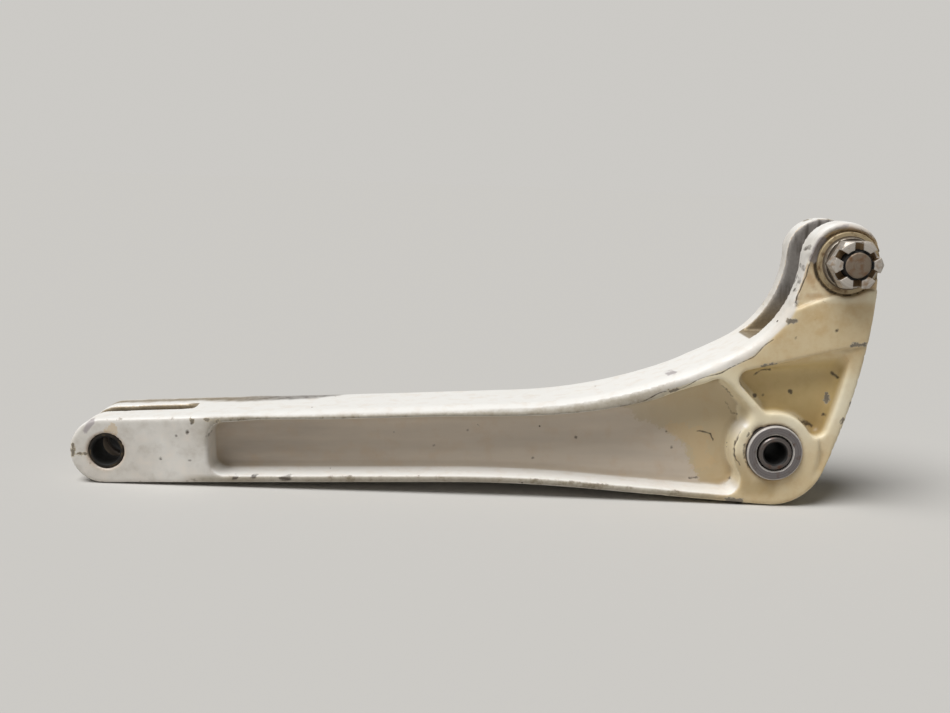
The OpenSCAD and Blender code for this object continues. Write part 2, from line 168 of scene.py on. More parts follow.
GRIME = [
    ([(-13.6, -5.2, 17.6), (-10.8, -5.2, 14.6)], 0.1),
    ([(-12.7, -5, 12.8), (-10.9, -5, 9.8), (-8.8, -5.2, 9.2)], 0.1),
    ([(-21.9, -5, -9.8), (-19.8, -5, -9.8)], 0.2),
    ([(-10.7, -5.4, -10.2), (-10.6, -5.4, -10.1)], 0.4),
    ([(-5.0, -7.5, 21.1), (-3.1, -7.8, 22.5), (-0.9, -8.2, 23.1)], 0.15),
    ([(17.4, -7.7, 22.2), (19.3, -8.5, 20.8)], 0.3),
    ([(-4.8, -7.8, 15.7), (-4.6, -7.8, 15.6)], 0.5),
    ([(-2.1, -7.5, 15.7), (-2.0, -7.5, 15.7)], 0.4),
    ([(5.9, -7.5, 16.3), (6.0, -7.5, 16.0)], 0.6),
    ([(15.7, -8.0, 9.9), (15.7, -8, 9.8)], 0.35),
    ([(7.4, -9.5, 8.7), (10.0, -8.0, 7.5), (12.6, -7.5, 6.2)], 0.4),
    ([(4.9, -14, 33.0), (4.9, -14, 33.0)], 0.35),
    ([(7.25, -12.6, 58.6), (7.05, -12.6, 57.6)], 0.22),
    ([(7.1, -10.5, 58.0), (7.0, -10.5, 57.6)], 0.18),
    ([(6.5, -8.3, 53.0), (6.4, -8.6, 52.4)], 0.22),
    ([(6.46, -10.8, 53.0), (6.4, -10.9, 52.2)], 0.18),
    ([(5.9, -8.6, 49.9), (5.8, -8.6, 49.2)], 0.22),
    ([(5.68, -10.3, 48.9), (5.55, -10.4, 48.4)], 0.22),
    ([(5.5, -7.8, 48.5), (5.3, -7.8, 47.8)], 0.22),
    ([(4.9, -8.6, 46.5), (4.7, -8.7, 45.9)], 0.22),
    ([(-8.3, -13.9, 2.6), (-8.5, -13.9, 0.4), (-8.4, -13.9, -2.0)], 0.22),
    ([(-8.0, -13.9, -3.0), (-7.2, -13.9, -4.6)], 0.15),
    ([(-7.5, -14, 4.9), (-7.2, -14, 5.4)], 0.3),
    ([(16.1, -14, 35.1), (16.2, -14, 35.0)], 0.35),
    ([(-166.2, -14, 8.2), (-166.0, -14, 8.0)], 0.35),
    ([(-170.6, -14, 4.7), (-170.5, -14, 4.7)], 0.3),
    ([(-167.4, -14, 5.9), (-167.2, -14, 5.9)], 0.35),
    ([(-174.9, -14, -2.0), (-174.8, -14, -2.0)], 0.3),
    ([(-166.4, -14, -3.1), (-166.3, -14, -3.1)], 0.3),
    ([(-161.5, -13.2, 4.0), (-161.0, -10, 5.3)], 0.1),
    ([(-154.3, -13.9, -7.6), (-153.6, -13.9, -7.6)], 0.4),
    ([(-148.9, -14, -7.8), (-148.2, -14, -7.8)], 0.45),
    ([(-140.9, -14, -7.8), (-138.3, -14, -7.8)], 0.45),
    ([(-87.4, -5, 3.8), (-87.3, -5, 3.8)], 0.22),
    ([(-97.1, -5, -0.5), (-97.0, -5, -0.5)], 0.22),
    ([(-56.0, -5, 1.9), (-55.9, -5, 1.9)], 0.26),
    ([(-109.5, -5, 3.7), (-109.5, -5, 3.7)], 0.22),
    ([(-29.4, -5, 3.5), (-29.3, -5, 3.5)], 0.22),
    ([(-28.1, -5, -0.8), (-28.0, -5, -0.8)], 0.22),
    ([(-84.2, -5, 6.0), (-84.2, -5, 6.0)], 0.18),
    ([(-68.3, -5, -3.9), (-68.3, -5, -3.9)], 0.2),
]
CRACKS = [
    ([(-20.8, -5, 4.2), (-18.3, -5, 3.6), (-16.5, -5, 3.0), (-15.3, -5, 1.4)], 0.17),
    ([(-44.3, -13.9, 12.8), (-40.9, -14, 14.0), (-35.9, -14, 15.8), (-30.0, -14, 17.8), (-24.7, -14, 19.8),
      (-19.1, -14, 22.3), (-12.4, -14, 24.7), (-6.6, -14, 27.9), (-1.8, -13.9, 32.7)], 0.13),
    ([(7.9, -12.5, 55.0), (7.2, -12.5, 50.5), (5.8, -12.6, 46.2), (4.4, -13, 43.0),
      (5.4, -14, 42.2)], 0.16),
    ([(-8.2, -14, 8.3), (-10.2, -14, 5.0), (-11.2, -13.8, 1.6), (-11.0, -14, -1.8),
      (-9.6, -14, -4.2)], 0.14),
]
RUST = [
    ([(18.5, -12.5, 62.8), (22.5, -12.5, 61.9), (25.0, -12.5, 60.2)], 1.1),
    ([(8.2, -12.5, 50.6), (9.0, -12.5, 49.2)], 1.0),
    ([(9.5, -12.5, 47.5), (9.8, -12.5, 46.8)], 0.5),
    ([(8.3, -12.5, 44.4), (11.0, -12.5, 44.9)], 0.7),
]
# Lines along the boss's underside, darkened for soot and painted shade
BOSS_UNDERSIDE_LINES = [
    ([(-10.5, -14, -3), (-7, -14, -10.5), (-1, -14, -10.5)], 0.5),
    ([(-10.5, 14, -3), (-7, 14, -10.5), (-1, 14, -10.5)], 0.5),
]
# Where the grey floor of the long pocket meets the cream paint, as X and Z
PAINT_BOUNDARY = [
    (-46.0, 14.0), (-41.3, 10.9), (-39.5, 9.1), (-35.4, 7.0), (-32.7, 5.5), (-30.0, 5.0), (-28.2, 3.2),
    (-26.4, 2.9), (-24.9, 0.5), (-23.6, -1.4), (-22.0, -5.6), (-19.9, -8.6), (-18.5, -13.0),
]
# Right edge of the white band along the sweep and up the ear's rim, as Z and X
WHITE_EDGE = [
    (12.8, -44.3), (15.8, -35.9), (19.8, -24.7), (22.3, -19.1), (24.7, -12.4), (27.9, -6.6), (32.7, -1.8),
    (37.3, 2.8), (42.2, 5.4), (46.2, 5.8), (50.5, 7.2), (55.0, 7.9), (59.0, 9.6), (62.5, 13.5),
]
# Near edge of the bare strip on the far half of the arm's top, as X and Y
STRIP_EDGE = [(-200, 8.4), (-168, 7.6), (-155, 4.2), (-140, 4.6), (-130, 7.4), (-125, 10.4)]


def linear(code):
    """sRGB hex colour as linear RGBA."""
    parts = [int(code[i:i + 2], 16) / 255 for i in (1, 3, 5)]
    return tuple(c / 12.92 if c <= 0.04045 else ((c + 0.055) / 1.055) ** 2.4 for c in parts) + (1.0,)


def node(tree, kind, inputs=None, **settings):
    """Adds a node with its settings, input values and links."""
    made = tree.nodes.new(kind)
    for key, value in settings.items():
        setattr(made, key, value)
    for key, value in (inputs or {}).items():
        if isinstance(value, bpy.types.NodeSocket):
            tree.links.new(value, made.inputs[key])
        else:
            made.inputs[key].default_value = value
    return made


def new_material(name):
    """A named material with its node tree and its Principled shader."""
    made = bpy.data.materials.new(name)
    made.use_nodes = True
    return made, made.node_tree, made.node_tree.nodes["Principled BSDF"]


def broken_edge(tree, field, noise, ragged, soft):
    """Mask of where a field is positive, with its edge broken up by a noise."""
    shifted = node(tree, "ShaderNodeMath", {0: noise, 1: -0.5}, operation="ADD").outputs[0]
    summed = node(tree, "ShaderNodeMath", {
        0: shifted, 1: ragged, 2: field}, operation="MULTIPLY_ADD").outputs[0]
    return node(tree, "ShaderNodeMapRange", {
        "Value": summed, "From Min": -soft, "From Max": soft}).outputs[0]


def layered(tree, colour, layers):
    """Colour with each (mask, colour) laid over the one before."""
    for mask, over in layers:
        mixed = node(tree, "ShaderNodeMixRGB", {"Fac": mask, "Color1": colour, "Color2": over})
        colour = mixed.outputs["Color"]
    return colour


def to_segments(points, marks):
    """Least distance from the points to the marks' lines, less each mark's half width."""
    best = np.full(len(points), np.inf)
    points = points * MARK_SCALE
    for path, width in marks:
        path = np.array(path, float) * MARK_SCALE
        for a, b in zip(path[:-1], path[1:]):
            run = b - a
            along = np.clip((points - a) @ run / max(run @ run, 1e-9), 0, 1)
            best = np.minimum(best, np.linalg.norm(points - a - along[:, None] * run, axis=1) - width)
    return best


def wandering(points, reach):
    """Points shifted by slow waves, so that marks drawn from straight lines wander."""
    longest = 7.1
    shift = np.zeros_like(points)
    for length, seed in ((longest, 1), (3.3, 2), (1.7, 3)):
        turn = np.random.default_rng(seed).normal(0, 1, (3, 3))
        turn *= 2 * math.pi / length / np.linalg.norm(turn, axis=0)
        shift += np.sin(points @ turn) * length / longest
    return points + reach * shift


def ramp(value, low, high):
    """Smooth step from 0 at low to 1 at high."""
    t = np.clip((value - low) / (high - low), 0, 1)
    return t * t * (3 - 2 * t)


def from_rib(x, z):
    """Distances across the rib, positive in the three-cornered pocket, and along it."""
    right, over = x - RIB_POINT[0], z - RIB_POINT[1]
    across = right * RIB_ACROSS[0] + over * RIB_ACROSS[1]
    along = over * RIB_ACROSS[0] - right * RIB_ACROSS[1]
    return across, along


def mesh_points(mesh):
    """A mesh's vertex places in mm."""
    flat = np.empty(len(mesh.vertices) * 3, np.float32)
    mesh.vertices.foreach_get("co", flat)
    return flat.reshape(-1, 3).astype(float) / MM


def mesh_normals(mesh):
    """A mesh's vertex normals."""
    flat = np.empty(len(mesh.vertices) * 3, np.float32)
    mesh.vertex_normals.foreach_get("vector", flat)
    return flat.reshape(-1, 3).astype(float)


def mesh_edges(mesh):
    """A mesh's edges as pairs of vertex numbers."""
    flat = np.empty(len(mesh.edges) * 2, np.int32)
    mesh.edges.foreach_get("vertices", flat)
    return flat.reshape(-1, 2)


def smoothed(points, edges, pull, rounds=1, weight=1.0):
    """Points drawn towards the mean of their neighbours, by a share and each one's weight."""
    a, b = edges.T
    ends = np.concatenate([a, b])
    others = np.concatenate([b, a])
    count = len(points)
    neighbours = np.maximum(np.bincount(ends, minlength=count), 1)[:, None]
    for _ in range(rounds):
        total = np.stack([np.bincount(ends, column[others], count) for column in points.T], axis=1)
        points = points + pull * weight * (total / neighbours - points)
    return points


def put_points(mesh, points):
    """Moves a mesh's vertices to places in mm."""
    mesh.vertices.foreach_set("co", (points * MM).astype(np.float32).ravel())
    mesh.update()


def as_mesh(shape, name):
    """A new smooth mesh from a bmesh, which is freed."""
    mesh = bpy.data.meshes.new(name)
    shape.to_mesh(mesh)
    shape.free()
    mesh.shade_smooth()
    return mesh


def merged_copy(name):
    """A CAD node's triangles with their shared corners joined."""
    shape = bmesh.new()
    shape.from_mesh(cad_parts[name].data)
    bmesh.ops.remove_doubles(shape, verts=shape.verts, dist=0.002 * MM)
    return shape


def evaluated(mesh, kind, inputs=None, **settings):
    """The mesh after one modifier, with the modifier's settings and its node tree's inputs."""
    holder = bpy.data.objects.new("holder", mesh)
    bpy.context.scene.collection.objects.link(holder)
    change = holder.modifiers.new("change", kind)
    for key, value in settings.items():
        setattr(change, key, value)
    for key, value in (inputs or {}).items():
        change[key] = value
    graph = bpy.context.evaluated_depsgraph_get()
    result = bpy.data.meshes.new_from_object(holder.evaluated_get(graph))
    bpy.data.objects.remove(holder)
    return result


def new_piece(name, mesh, material, body, slot, *nodes):
    """Links a finished mesh as a piece that rides on a body and stands for CAD nodes."""
    piece = bpy.data.objects.new(name, mesh)
    bpy.context.scene.collection.objects.link(piece)
    mesh.materials.clear()
    mesh.materials.append(material)
    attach(piece, body)
    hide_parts(*nodes)


def lever_mesh():
    """The forging's skin, softened at its edges as by thick enamel, and finer at the cracks and chips."""
    mesh = as_mesh(merged_copy("lever_forging"), "lever")
    mesh = evaluated(mesh, "REMESH", mode="VOXEL", voxel_size=VOXEL * MM)
    edges = mesh_edges(mesh)
    points = mesh_points(mesh)
    for _ in range(SMOOTH_ROUNDS):
        points = smoothed(points, edges, SMOOTH_IN)
        points = smoothed(points, edges, SMOOTH_OUT)
    put_points(mesh, points)
    mesh = evaluated(mesh, "SHRINKWRAP", target=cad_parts["lever_forging"])

    # The lowered flank runs out gently round the boss
    points = mesh_points(mesh)
    x, y, z = points.T
    turn = np.degrees(np.arctan2(z, x))
    off_land = ramp(np.hypot(x, z), BOSS_LAND_R - 0.4, BOSS_LAND_R + 0.6)
    fall = ramp(turn, -45, -2) * (turn < 4) * off_land
    points[:, 1] = np.sign(y) * np.minimum(np.abs(y), HALF_T - FLANK_DROP * fall)
    points = smoothed(points, edges, EDGE_EASE)

    # The rib's side in the long pocket is one broad slope
    x, y, z = points.T
    across, along = from_rib(x, z)
    slope = (across > -5.5) & (across < -0.8) & (along > -3) & (along < 14) & (np.abs(y) > 4.5)
    points = smoothed(points, edges, SOFT_PULL, SLOPE_ROUNDS, slope[:, None])

    # The top flange thins to a narrow lip over the pockets
    x, y, z = points.T
    stations = np.arange(LIP_LIFT[0][0], LIP_LIFT[-1][0], LIP_STEP)
    face = (y < 0.5 - HALF_T) & (z > 2)
    lowest = [z[face & (np.abs(x - station) < LIP_STEP / 2)].min() for station in stations]
    lip = np.interp(x, stations, lowest)
    lift = np.interp(x, *np.array(LIP_LIFT).T)
    near_lip = np.where(z < lip, ramp(z, lip - 5, lip - 0.5), ramp(z, lip + 2.6, lip + 0.4))
    points[:, 2] += lift * near_lip * (z > 0)

    # The flange's outer edges are round
    x, y, z = points.T
    outer = ramp(z - lip - lift, 0.2, 1.4) * ramp(np.abs(y), HALF_T - 4, HALF_T - 2.5)
    outer = outer * ramp(x, -152, -144) * ramp(x, -20, -28)
    points = smoothed(points, edges, SOFT_PULL, ROUND_ROUNDS, outer[:, None])
    put_points(mesh, points)

    near = to_segments(wandering(points, WANDER), CRACKS + CHIPS + GRIME) < FINE_REACH
    shape = bmesh.new()
    shape.from_mesh(mesh)
    fine = [e for e in shape.edges if near[e.verts[0].index] and near[e.verts[1].index]]
    bmesh.ops.subdivide_edges(shape, edges=fine, cuts=2, use_grid_fill=True)
    bmesh.ops.triangulate(shape, faces=[f for f in shape.faces if len(f.verts) > 4])
    return as_mesh(shape, "lever")


def lever_fields(mesh):
    """Puts the fields that the enamel reads on the lever's skin, and gives their names. Each is a share from
    0 to 1, or is positive inside: a distance in mm, or a share less a half."""
    p = mesh_points(mesh)
    n = mesh_normals(mesh)
    x, y, z = p.T
    right, _, up = n.T
    sideways = np.abs(n[:, 1])
    depth = HALF_T - np.abs(y)
    field = {}

    # Yellowed cream round the boss and up the short arm, white along the long arm; faces that look up, the
    # sweep's top and the ear's crown are kept whiter as painted light
    across, _ = from_rib(x, z)
    in_window = (x > -9) & (z > 3) & (z < 27) & (across > 0)
    lit = np.where(in_window, 0, np.clip(up, 0, 1))
    band = ramp(np.interp(z, *np.array(WHITE_EDGE).T) - x, -0.3, 0.9) * (z > WHITE_EDGE[0][0])
    crown = np.maximum(ramp(depth, 1.2, 0.7), ramp(up, 0, 0.3))
    band = np.maximum(band, ramp(z, 57, 61) * crown)
    field["cream"] = ramp(x + 0.2 * z - 50 * lit, -52, -14) * (1 - band) - 0.5
    field["ochre"] = np.where(in_window, ramp(depth, 1.2, 5.8), 0) * ramp(right, 0.5, 0.2)
    short_arm = ramp(z, 20, 26) * ramp(z, 44, 42) * ramp(x, -18, -6) * (1 - 0.9 * band)
    # The boss's lower faces are tinted tan for dirt and painted shade
    under_boss = ramp(z - 0.3 * x, 8, -10) * ramp(x, -30, -14) * ramp(sideways, 0.5, 0.8)
    field["tan"] = np.maximum(short_arm, under_boss)
    # Painted shade low in the three-cornered pocket; soot and painted shade under the boss
    window_soot = 0.6 * ramp(depth, 3, 6) * ramp(z, 17, 7)
    boss_soot = 0.5 * ramp(to_segments(p, BOSS_UNDERSIDE_LINES), 3.5, 0.3) * ramp(depth, 1, 0.3)
    field["soot"] = np.where(in_window, window_soot, boss_soot)

    # Grey floor of the long pockets, up to the paint's broken edge
    line = np.array(PAINT_BOUNDARY)
    shifted = x + np.where(y > 0, REAR_SHIFT, 0.0)
    flat = np.stack([shifted, np.zeros_like(x), z], axis=1)
    away = to_segments(flat, [([(a, 0, b) for a, b in line], 0)])
    left = shifted < np.interp(-z, -line[:, 1], line[:, 0])
    field["grey_floor"] = np.where(left, away, -away)
    in_pocket = (x < -9) & (x > -162.5)
    field["floor"] = np.where(in_pocket, ramp(depth, 7.5, 8.3), 0) * ramp(sideways, 0.3, 0.7)

    # Bare strip on the far half of the arm's top, coloured dark as dirty metal and as a painted dark
    # reflection
    near_side = np.interp(x, *np.array(STRIP_EDGE).T)
    strip = np.minimum(np.minimum(y - near_side, 12.2 - y), -125.5 - x)
    field["strip"] = np.where((up > 0.6) & (z > 4), strip, OUTSIDE)

    # Milled slot walls, and the brown of old oil low in the clevis and towards the eye
    clevis_slot = np.minimum(CLEVIS_SLOT_HALF + MILLED_LAP - np.abs(y), z - CLEVIS_SLOT_FLOOR + MILLED_LAP)
    eye_slot = np.minimum(EYE_SLOT_HALF + MILLED_LAP - np.abs(y), EYE_SLOT_END + MILLED_LAP - x)
    field["milled"] = np.maximum(clevis_slot, eye_slot)
    field["slot_brown"] = 0.8 * ramp(z, 46, 34) * (x > -20) + 0.75 * ramp(x, -138, -166)

    # Rust and grease round the clevis bolt, the bearing and the eye; the dark ring round the washers is dirt
    # and painted shade, and the near-black in the eye's slot is grease and painted shade
    around_bolt = np.hypot(x - CLEVIS[0], z - CLEVIS[1])
    around_pivot = np.hypot(x, z)
    around_eye = np.hypot(x - EYE[0], z)
    rust = np.maximum(ramp(around_bolt, 11.8, 7.6), 0.55 * ramp(around_pivot, 9.4, 7.9))
    rust = np.maximum(rust, 0.6 * ramp(around_eye, 6.4, 5.2)) - 0.5
    stray = wandering(p, WANDER)
    field["rust"] = np.maximum(rust, np.clip(0.1 - to_segments(stray, RUST) / 1.4, -0.5, 0.5))
    ear_face = (depth > 1.2) & (sideways > 0.5) & (np.abs(y) > 11)
    washer_dark_ring = 0.5 - np.abs(around_bolt - 9.05) - 0.4 * ramp(z, 54, 60)
    field["spot"] = np.where(ear_face, washer_dark_ring, OUTSIDE)
    field["grease"] = np.where(np.abs(y) < 13.2, ramp(around_eye, 9.5, 6.0), 0)
    field["ear"] = ramp(z, 43.2, 43.8) * ramp(depth, 0.9, 1.3) * (sideways > 0.6)

    # Marks drawn on the front, and strewn over the rear
    bulge = np.sum((p - smoothed(p, mesh_edges(mesh), SOFT_PULL, BULGE_ROUNDS)) * n, axis=1)
    rng = np.random.default_rng(REAR_SEED)
    rear_edges = np.flatnonzero((y > 12) & (bulge > 0.06))
    picks = p[rng.choice(rear_edges, REAR_CHIPS, replace=False)]
    drift = rng.normal(0, 0.7, (REAR_CHIPS, 3))
    widths = rng.uniform(0.25, 0.75, REAR_CHIPS)
    rear_chips = [([a, a + d], w) for a, d, w in zip(picks, drift, widths)]
    rear_floor = np.flatnonzero((y > 4) & (n[:, 1] > 0.9))
    picks = p[rng.choice(rear_floor, REAR_SPECKS, replace=False)]
    widths = rng.uniform(0.2, 0.45, REAR_SPECKS)
    rear_grime = [([a, a + (0.1, 0, 0.1)], w) for a, w in zip(picks, widths)]
    field["chip"] = -to_segments(stray, CHIPS + rear_chips)
    field["bare_spot"] = -to_segments(stray, BARE_SPOTS)
    field["undercoat"] = -to_segments(wandering(p, 2 * WANDER), UNDERCOAT)
    field["grime"] = -to_segments(stray, GRIME + rear_grime)
    field["crack"] = -to_segments(stray, CRACKS)

    # Edges and hollows, whose darkening is partly painted shade; the clean upward faces, made whiter as
    # painted light; and the dusty faces of the rims, darkened by dust and painted shade
    field["bulge"] = np.where((z > 50) & (bulge < 0), 0.3 * bulge, bulge)
    field["clean"] = ramp(up, 0.3, 0.8)
    belly = np.interp(x, *np.array(BELLY).T)
    low_rim = ramp(z, belly + 2.7, belly + 1.7) * ramp(x, -172, -160) * ramp(x, -6, -20)
    high_rim = ramp(z, 1, 2) * ramp(x, -166, -158) * ramp(x, -18, -40)
    field["rim_face"] = np.maximum(low_rim, high_rim) * ramp(sideways, 0.4, 0.8) * (np.abs(y) > 12.6)
    field["rim"] = 0.3 + 0.7 * (x < -25) * (np.abs(y) > 12.4)

    for name, values in field.items():
        mesh.attributes.new(name, "FLOAT", "POINT").data.foreach_set("value", values.astype(np.float32))
    return list(field)


def worn_enamel(field_names):
    """Brushed cream enamel over a forged aluminium lever: semi-gloss, yellowed, chipped to grey metal at
    its edges and stained brown where oil and rust have run. Its colour also holds painted light on faces that
    look up and painted shade in its hollows, pockets, rims and slots."""
    made, tree, shader = new_material("worn_enamel_on_forging")
    place = node(tree, "ShaderNodeTexCoord").outputs["Object"]
    field = {
        name: node(tree, "ShaderNodeAttribute", attribute_name=name).outputs["Fac"] for name in field_names
    }
    # Cloudy yellowing 20 mm across, brush marks and stains 4 mm, grit 0.9 mm
    cloud, blotch, grit = [
        node(tree, "ShaderNodeTexNoise", {
            "Vector": place, "Scale": 1000 / size, "Detail": detail, "Roughness": 0.6}).outputs["Fac"]
        for size, detail in ((20, 3), (4, 4), (0.9, 3))
    ]
    # Brush strokes along the arm, 25 mm by 3 mm, and runs of oil down the slot walls, 15 mm by 2.2 mm
    stroke, streak = [
        node(tree, "ShaderNodeTexNoise", {
            "Vector": node(tree, "ShaderNodeMapping", {"Vector": place, "Scale": stretch}).outputs[0],
            "Scale": 1000 / size, "Detail": 3.0}).outputs["Fac"]
        for size, stretch in ((3, (0.12, 1, 1)), (2.2, (1, 1, 0.15)))
    ]
    fine = node(tree, "ShaderNodeMath", {0: grit, 1: 0.4}, operation="MULTIPLY").outputs[0]
    rough = node(tree, "ShaderNodeMath", {0: blotch, 1: 0.6, 2: fine}, operation="MULTIPLY_ADD").outputs[0]
    cloudy = node(tree, "ShaderNodeMath", {0: cloud, 1: blotch}, operation="ADD").outputs[0]
    along = node(tree, "ShaderNodeSeparateXYZ", {"Vector": place}).outputs["X"]

    # Patterns, places along the arm and fields, each brought into the range that it is used in
    level = {
        name: node(tree, "ShaderNodeMapRange", {
            "Value": value, "From Min": low, "From Max": high, "To Min": least, "To Max": most}).outputs[0]
        for name, value, low, high, least, most in (
            ("haze", cloudy, 0.7, 1.3, 0, 1),
            ("tan", cloudy, 0.7, 1.3, 0.45, 0.95),
            ("streak", streak, 0.48, 0.66, 0, 0.7),
            ("pale", along, -150 * MM, -95 * MM, 0, 0.42),
            ("rim_dust_and_shade", rough, 0.3, 0.7, 0.5, 0.98),
            ("ear", rough, 0.35, 0.65, 0.3, 0.85),
            ("run", blotch, 0.5, 0.72, -0.62, -0.2),
            ("hollow", field["bulge"], -0.1, -0.5, 0, 0.55),
            ("roughness", blotch, 0.3, 0.7, 0.34, 0.52),
        )
    }
    mask = {
        name: broken_edge(tree, field[name], noise, ragged, soft)
        for name, noise, ragged, soft in (
            ("cream", cloud, 0.5, 0.45),
            ("grey_floor", rough, 10, 0.35),
            ("strip", blotch, 4, 1.6),
            ("milled", grit, 0.25, 0.12),
            ("rust", blotch, 1.3, 0.5),
            ("chip", grit, 2.2, 0.1),
            ("spot", blotch, 1.4, 0.3),
            ("bare_spot", rough, 1.8, 0.25),
            ("undercoat", rough, 10, 0.3),
            ("grime", rough, 2.2, 0.25),
            ("crack", rough, 0.35, 0.1),
        )
    }
    grey_share = node(tree, "ShaderNodeMath", {
        0: mask["grey_floor"], 1: field["floor"]}, operation="MULTIPLY").outputs[0]
    # Pale rim of broken paint 0.2 mm wide round each chip
    around_chip = node(tree, "ShaderNodeMath", {0: field["chip"], 1: 0.2}, operation="ADD").outputs[0]
    chip_edge = broken_edge(tree, around_chip, grit, 2.2, 0.12)
    # Grit caught on the sharp edges, in runs along the rims
    proud = node(tree, "ShaderNodeMath", {
        0: field["bulge"], 1: field["rim"], 2: level["run"]}, operation="MULTIPLY_ADD").outputs[0]
    gritty_edge = broken_edge(tree, proud, grit, 0.9, 0.14)
    # Pin holes in some of the cells 5.5 mm apart, about one to 9 mm
    cells = node(tree, "ShaderNodeTexVoronoi", {"Vector": place, "Scale": 1000 / 5.5}).outputs
    chance = node(tree, "ShaderNodeSeparateColor", {"Color": cells["Color"]}).outputs["Red"]
    reach = node(tree, "ShaderNodeMapRange", {
        "Value": chance, "From Min": 0.6, "From Max": 1.0, "To Max": 0.075}).outputs[0]
    pin = node(tree, "ShaderNodeMath", {0: cells["Distance"], 1: reach}, operation="LESS_THAN").outputs[0]

    # Faces that look up are whiter: painted light, over the random haze
    haze_and_top_light = node(tree, "ShaderNodeMath", {
        0: level["haze"], 1: field["clean"]}, operation="MAXIMUM").outputs[0]
    tone = {
        name: layered(tree, linear(low), [(pattern, linear(high))])
        for name, pattern, low, high in (
            ("white", haze_and_top_light, "#C6BFB5", "#EFEDE8"),
            ("yellow", cloud, "#E3D2A9", "#F0E9D4"),
            ("ochre", blotch, "#BBA068", "#DAC694"),
            ("grey", stroke, "#9F958A", "#CDBFAE"),
            ("metal", grit, "#85807C", "#B0ABA6"),
            ("chipped", rough, "#4F4638", "#A39A8C"),
            ("stain", blotch, "#8E6234", "#D0A873"),
            ("slime", grit, "#6A5B45", "#AA9670"),
        )
    }
    slot = layered(tree, tone["metal"], [
        (level["streak"], linear("#453D34")),
        (field["slot_brown"], tone["slime"]),
    ])
    share = {
        name: node(tree, "ShaderNodeMath", {0: whole, 1: part}, operation="MULTIPLY").outputs[0]
        for name, whole, part in (
            ("tan", field["tan"], level["tan"]),
            ("floor", field["floor"], 0.6),
            ("pale", level["pale"], grey_share),
            ("undercoat", mask["undercoat"], 0.55),
            ("ear", field["ear"], level["ear"]),
            ("rust", mask["rust"], 0.6),
            ("rim_dust_and_shade", field["rim_face"], level["rim_dust_and_shade"]),
            ("gritty", gritty_edge, 0.75),
            ("grime", mask["grime"], 0.88),
        )
    }
    colour = layered(tree, tone["white"], [
        (mask["cream"], tone["yellow"]),
        (share["tan"], linear("#CEB383")),
        (field["ochre"], tone["ochre"]),
        # Painted shade low in the window, soot and painted shade under the boss
        (field["soot"], linear("#8F7442")),
        # The pocket floor's paint is darkened: painted shade under the top flange
        (share["floor"], linear("#A8926E")),
        (grey_share, tone["grey"]),
        (share["pale"], linear("#DCCFBE")),
        (share["undercoat"], linear("#CDB48C")),
        (share["ear"], linear("#D8BF97")),
        (share["rust"], tone["stain"]),
        # Hollows darkened: painted shade and grime
        (level["hollow"], linear("#8B7550")),
        (mask["strip"], slot),
        (mask["milled"], slot),
        # Rims' front faces darkened: dust and painted shade
        (share["rim_dust_and_shade"], linear("#8A7F6A")),
        (share["gritty"], linear("#6E6350")),
        # Dark ring round the washers: dirt and painted shade
        (mask["spot"], linear("#4E4334")),
        # Near-black in the eye's slot: grease and painted shade
        (field["grease"], linear("#3B332B")),
        (mask["bare_spot"], linear("#B0A9A8")),
        (chip_edge, linear("#BDB19A")),
        (mask["chip"], tone["chipped"]),
        (share["grime"], linear("#34281C")),
        (pin, linear("#4A3F30")),
        (mask["crack"], linear("#40352A")),
    ])
    tree.links.new(colour, shader.inputs["Base Color"])
    tree.links.new(level["roughness"], shader.inputs["Roughness"])

    # Bare metal shows a little of its gleam through the dirt
    bare = mask["strip"]
    for name in ("milled", "chip"):
        bare = node(tree, "ShaderNodeMath", {0: bare, 1: mask[name]}, operation="MAXIMUM").outputs[0]
    gleam = node(tree, "ShaderNodeMath", {0: bare, 1: 0.3}, operation="MULTIPLY").outputs[0]
    tree.links.new(gleam, shader.inputs["Metallic"])

    # Paint a tenth of a millimetre thick over a slightly uneven forging
    missing = node(tree, "ShaderNodeMath", {0: bare, 1: mask["crack"]}, operation="MAXIMUM").outputs[0]
    relief = node(tree, "ShaderNodeMath", {
        0: missing, 1: -1.2, 2: blotch}, operation="MULTIPLY_ADD").outputs[0]
    bump = node(tree, "ShaderNodeBump", {"Height": relief, "Strength": 0.35, "Distance": 0.1 * MM})
    tree.links.new(bump.outputs["Normal"], shader.inputs["Normal"])
    return made


